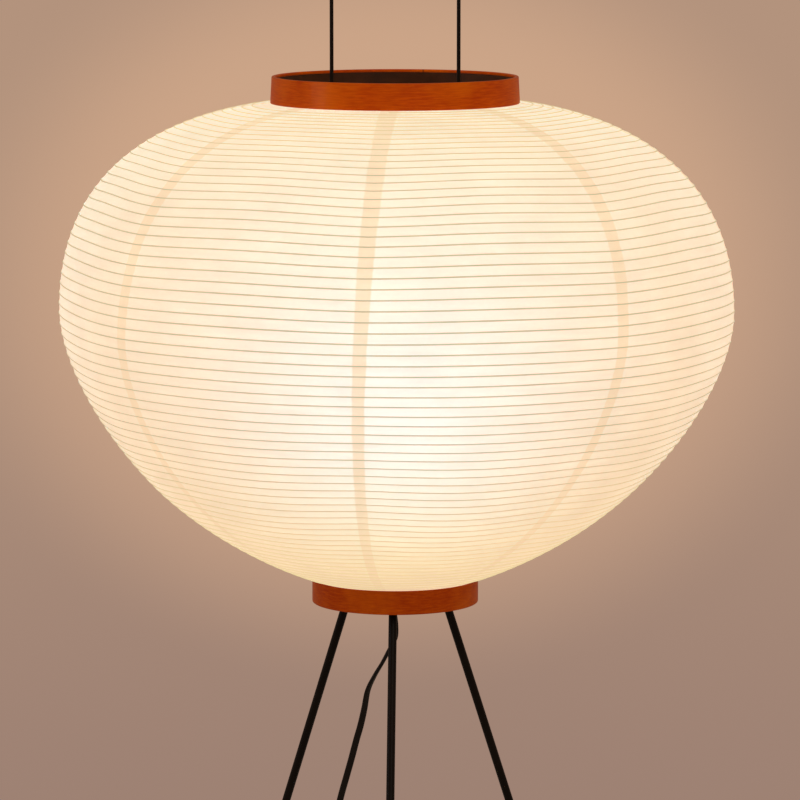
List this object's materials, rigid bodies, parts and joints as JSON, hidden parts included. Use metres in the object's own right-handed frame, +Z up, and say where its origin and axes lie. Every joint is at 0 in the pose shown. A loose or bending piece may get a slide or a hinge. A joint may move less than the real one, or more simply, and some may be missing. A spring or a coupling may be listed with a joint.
{
  "type": "paper lantern floor lamp",
  "caption": "Floor lamp with a round lobed paper lantern shade between two wooden hoops, held open by a wire bow on three splayed rod legs.",
  "frame": {"origin": "on the floor, under the shade's axis", "axes": "+Z up, -Y towards the front leg, +X to the right seen from the front"},
  "size_m": [0.5275, 0.5274, 1.23],
  "materials": {
    "black_steel": "satin black powder coat",
    "foot_rubber": "matte",
    "zinc_steel": "zinc plated",
    "black_plastic": "moulded",
    "cord_black": "satin flexible",
    "wire_blue": "insulation",
    "ceramic_white": "unglazed",
    "brass": "bare",
    "bulb_glass": "opal",
    "hoop_wood": "reddish orange stain, satin varnish",
    "rib_wood": "split bamboo",
    "shade_paper": "handmade paper"
  },
  "bodies": {
    "stand": {"leg_front": "black_steel", "leg_right": "black_steel", "leg_left": "black_steel", "foot_front": "foot_rubber", "foot_right": "foot_rubber", "foot_left": "foot_rubber", "base_plate": "black_steel", "bow": "black_steel", "bow_nuts": "zinc_steel", "stem": "zinc_steel", "stem_nuts": "zinc_steel", "cord_grip": "black_plastic", "core_wires": "wire_blue", "holder_cap": "black_plastic", "holder_insert": "ceramic_white", "holder_shell": "brass", "holder_contact": "brass", "holder_body": "black_plastic", "bottom_hoop": "hoop_wood", "bottom_band": "black_steel", "shade_screws": "zinc_steel", "shade_nuts": "zinc_steel", "shade_paper_1": "shade_paper", "shade_paper_2": "shade_paper", "shade_paper_3": "shade_paper", "shade_paper_4": "shade_paper", "shade_paper_5": "shade_paper", "shade_paper_6": "shade_paper", "shade_paper_7": "shade_paper", "shade_paper_8": "shade_paper", "shade_rib": "rib_wood", "cord_drop": "cord_black", "switch_base": "black_plastic", "switch_cover": "black_plastic", "switch_screws": "zinc_steel", "cord_lead": "cord_black", "cord_coil": "cord_black", "cord_tail": "cord_black", "plug_body": "black_plastic", "plug_blades": "brass"},
    "shade_top": {"top_hoop": "hoop_wood", "top_band": "black_steel", "top_spider": "black_steel", "spider_rivets": "zinc_steel", "rod_grips": "black_plastic"},
    "bulb": {"bulb_glass": "bulb_glass", "bulb_cap": "zinc_steel", "bulb_contact": "black_plastic"},
    "rocker": {"switch_rocker": "black_plastic"}
  },
  "joints": [
    {"name": "shade_slide", "type": "slide", "parent": "stand", "child": "shade_top", "axis": [0, 0, 1], "range_m": [-0.35, 0], "deforming": ["shade_paper_1", "shade_paper_2", "shade_paper_3", "shade_paper_4", "shade_paper_5", "shade_paper_6", "shade_paper_7", "shade_paper_8", "shade_rib"]},
    {"name": "bulb_lift", "type": "slide", "parent": "stand", "child": "bulb", "axis": [0, 0, 1], "range_m": [0, 0.38]},
    {"name": "switch_rock", "type": "hinge", "parent": "stand", "child": "rocker", "pos_m": [-0.07, 0.166, 0.012], "axis": [0, 1, 0], "range_deg": [-14, 0]}
  ]
}
